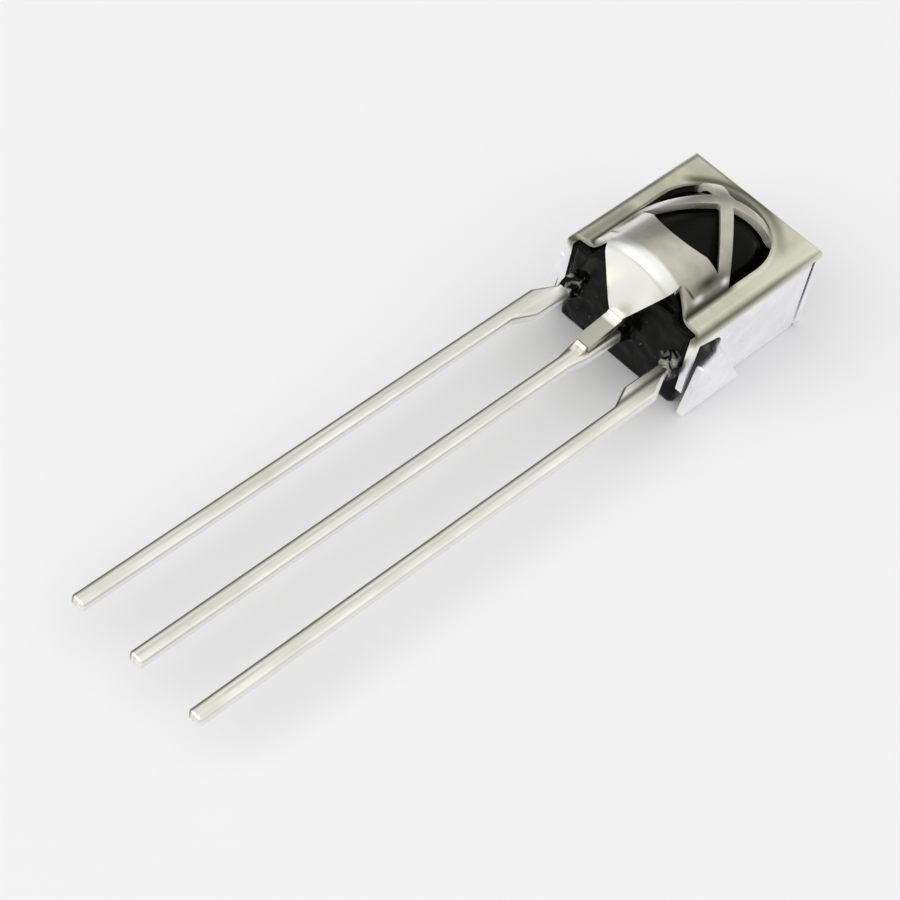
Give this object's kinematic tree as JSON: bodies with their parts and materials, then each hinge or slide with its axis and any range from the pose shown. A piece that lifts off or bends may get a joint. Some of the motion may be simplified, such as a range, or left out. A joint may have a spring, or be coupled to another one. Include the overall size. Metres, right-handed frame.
{
  "type": "infrared receiver",
  "caption": "Infrared receiver: a black epoxy body with a domed lens in a folded tinplate shield that has a crossed window, with flat tinned leads in a row.",
  "frame": {"origin": "middle of the body, on the plane of its back, which it rests on", "axes": "+X across the leads, -Y along the leads away from the body, +Z out of the lens along its optical axis"},
  "size_m": [0.0064, 0.0269, 0.0049],
  "materials": {
    "tinplate": "dull tin plating, olive silver",
    "epoxy": "glossy black casting",
    "tinned_lead": "bright tin plating",
    "solder": "smooth solder",
    "photodiode": "polished silicon",
    "chip": "polished silicon",
    "adhesive": "silver-filled adhesive",
    "gold": "drawn gold wire"
  },
  "bodies": {
    "root": {"shield": "tinplate", "epoxy_body": "epoxy", "lead_out": "tinned_lead", "lead_gnd": "tinned_lead", "lead_vcc": "tinned_lead", "tab_solder": "solder", "photodiode_die": "photodiode", "receiver_ic_die": "chip", "diode_adhesive": "adhesive", "ic_adhesive": "adhesive", "wire_out": "gold", "wire_vcc": "gold", "wire_gnd": "gold", "wire_diode_signal": "gold", "wire_diode_bias": "gold"}
  },
  "joints": []
}
